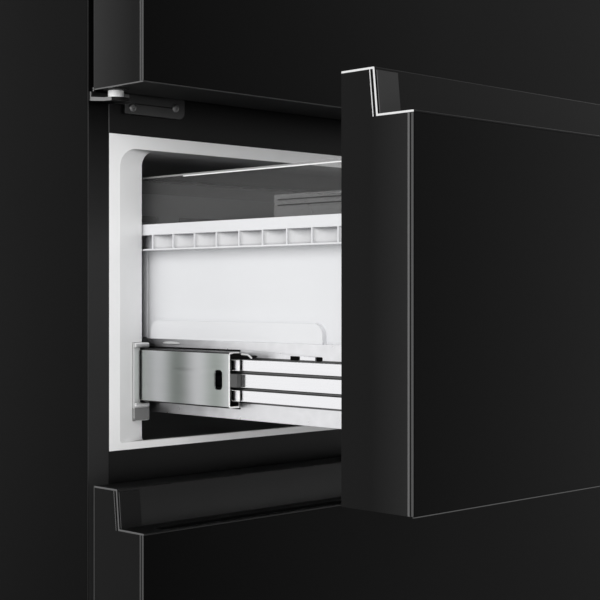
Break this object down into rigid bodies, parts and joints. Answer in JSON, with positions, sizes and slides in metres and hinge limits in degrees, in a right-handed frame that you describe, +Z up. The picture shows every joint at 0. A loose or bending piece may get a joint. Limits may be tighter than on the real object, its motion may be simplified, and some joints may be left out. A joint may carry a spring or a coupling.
{
  "type": "fridge freezer",
  "caption": "Free-standing fridge freezer in satin black: hinged fridge door above, freezer drawers on telescopic slides below, with recessed Z-profile handles.",
  "frame": {"origin": "on the floor, under the middle of the whole object with its middle drawer pulled out as stored", "axes": "+Z up, +X to the right seen from the front, +Y from the doors towards the back"},
  "size_m": [0.7, 0.9154, 1.892],
  "materials": {
    "black_cabinet": "satin",
    "black_front": "satin",
    "door_body": "satin",
    "handle_metal": "satin",
    "cap_grey": "satin",
    "galvanised": "satin",
    "foam": "matte",
    "liner_white": "satin",
    "inner_plastic": "satin",
    "bin_white": "satin",
    "clear_plastic": "gloss",
    "shelf_glass": "gloss",
    "rail_steel": "satin",
    "bright_steel": "polished",
    "zinc": "satin",
    "seal": "matte",
    "bush_plastic": "matte",
    "black_plastic": "matte",
    "black_pot": "gloss",
    "aluminium_fin": "satin",
    "lens": "gloss"
  },
  "bodies": {
    "cabinet": {"outer_shell": "black_cabinet", "back_panel": "galvanised", "base_pan": "galvanised", "insulation_foam": "foam", "fridge_liner": "liner_white", "middle_liner": "liner_white", "lower_liner": "liner_white", "crossbars": "black_cabinet", "kick_plate": "black_plastic", "top_hinge": "zinc", "hinge_cover": "black_plastic", "middle_hinge": "zinc", "compressor": "black_pot", "condenser": "galvanised", "fan_motor": "black_plastic", "drip_tray": "black_plastic", "machine_cover": "galvanised", "evaporator": "aluminium_fin", "evaporator_cover": "inner_plastic", "air_duct": "inner_plastic", "light_strip": "lens", "glass_shelves": "shelf_glass", "shelf_trims": "inner_plastic", "middle_fixed_rails": "rail_steel", "lower_fixed_rails": "rail_steel"},
    "fridge_door": {"fridge_door_core": "door_body", "fridge_door_panel": "black_front", "fridge_door_liner": "liner_white", "fridge_door_gasket": "seal", "fridge_door_bushes": "bush_plastic", "fridge_door_bins": "clear_plastic"},
    "front_foot_left": {"front_foot_left": "black_plastic"},
    "front_foot_right": {"front_foot_right": "black_plastic"},
    "rear_roller_left": {"rear_roller_left": "black_plastic"},
    "rear_roller_right": {"rear_roller_right": "black_plastic"},
    "condenser_fan": {"condenser_fan": "black_plastic"},
    "crisper_left": {"crisper_left": "clear_plastic"},
    "crisper_right": {"crisper_right": "clear_plastic"},
    "middle_slides": {"middle_slides": "bright_steel"},
    "middle_drawer": {"middle_runners": "bright_steel", "middle_drawer_brackets": "rail_steel", "middle_drawer_core": "door_body", "middle_drawer_panel": "black_front", "middle_drawer_handle": "handle_metal", "middle_handle_caps": "cap_grey", "middle_drawer_gasket": "seal", "middle_drawer_liner": "liner_white", "middle_drawer_bin": "bin_white"},
    "middle_tray": {"middle_drawer_tray": "clear_plastic"},
    "lower_slides": {"lower_slides": "bright_steel"},
    "lower_drawer": {"lower_runners": "bright_steel", "lower_drawer_brackets": "rail_steel", "lower_drawer_core": "door_body", "lower_drawer_panel": "black_front", "lower_drawer_handle": "handle_metal", "lower_handle_caps": "cap_grey", "lower_drawer_gasket": "seal", "lower_drawer_liner": "liner_white", "lower_drawer_bin": "bin_white"},
    "lower_tray": {"lower_drawer_tray": "clear_plastic"}
  },
  "joints": [
    {"name": "fridge_door_swing", "type": "hinge", "parent": "cabinet", "child": "fridge_door", "pos_m": [-0.338, -0.14235, 0.72], "axis": [0, 0, -1], "range_deg": [0, 115]},
    {"name": "middle_drawer_slide", "type": "slide", "parent": "cabinet", "child": "middle_drawer", "axis": [0, -1, 0], "range_m": [-0.2654, 0.0846]},
    {"name": "middle_slides_slide", "type": "slide", "parent": "cabinet", "child": "middle_slides", "axis": [0, -1, 0], "range_m": [-0.1327, 0.0423]},
    {"name": "middle_tray_slide", "type": "slide", "parent": "middle_drawer", "child": "middle_tray", "axis": [0, 1, 0], "range_m": [0, 0.12]},
    {"name": "lower_drawer_slide", "type": "slide", "parent": "cabinet", "child": "lower_drawer", "axis": [0, -1, 0], "range_m": [0, 0.35]},
    {"name": "lower_slides_slide", "type": "slide", "parent": "cabinet", "child": "lower_slides", "axis": [0, -1, 0], "range_m": [0, 0.175]},
    {"name": "lower_tray_slide", "type": "slide", "parent": "lower_drawer", "child": "lower_tray", "axis": [0, 1, 0], "range_m": [0, 0.045]},
    {"name": "crisper_left_slide", "type": "slide", "parent": "cabinet", "child": "crisper_left", "axis": [0, -1, 0], "range_m": [0, 0.05]},
    {"name": "front_foot_left_turn", "type": "hinge", "parent": "cabinet", "child": "front_foot_left", "pos_m": [-0.288, -0.06435, 0.005], "axis": [0, 0, 1], "continuous": true},
    {"name": "rear_roller_left_roll", "type": "hinge", "parent": "cabinet", "child": "rear_roller_left", "pos_m": [-0.288, 0.42265, 0.016], "axis": [1, 0, 0], "continuous": true},
    {"name": "crisper_right_slide", "type": "slide", "parent": "cabinet", "child": "crisper_right", "axis": [0, -1, 0], "range_m": [0, 0.05]},
    {"name": "front_foot_right_turn", "type": "hinge", "parent": "cabinet", "child": "front_foot_right", "pos_m": [0.288, -0.06435, 0.005], "axis": [0, 0, 1], "continuous": true},
    {"name": "rear_roller_right_roll", "type": "hinge", "parent": "cabinet", "child": "rear_roller_right", "pos_m": [0.288, 0.42265, 0.016], "axis": [1, 0, 0], "continuous": true},
    {"name": "condenser_fan_spin", "type": "hinge", "parent": "cabinet", "child": "condenser_fan", "pos_m": [-0.01, 0.37515, 0.1092], "axis": [1, 0, 0], "continuous": true}
  ],
  "couplings": [
    {"joint": "middle_slides_slide", "follows": "middle_drawer_slide", "ratio": 0.5},
    {"joint": "lower_slides_slide", "follows": "lower_drawer_slide", "ratio": 0.5}
  ]
}
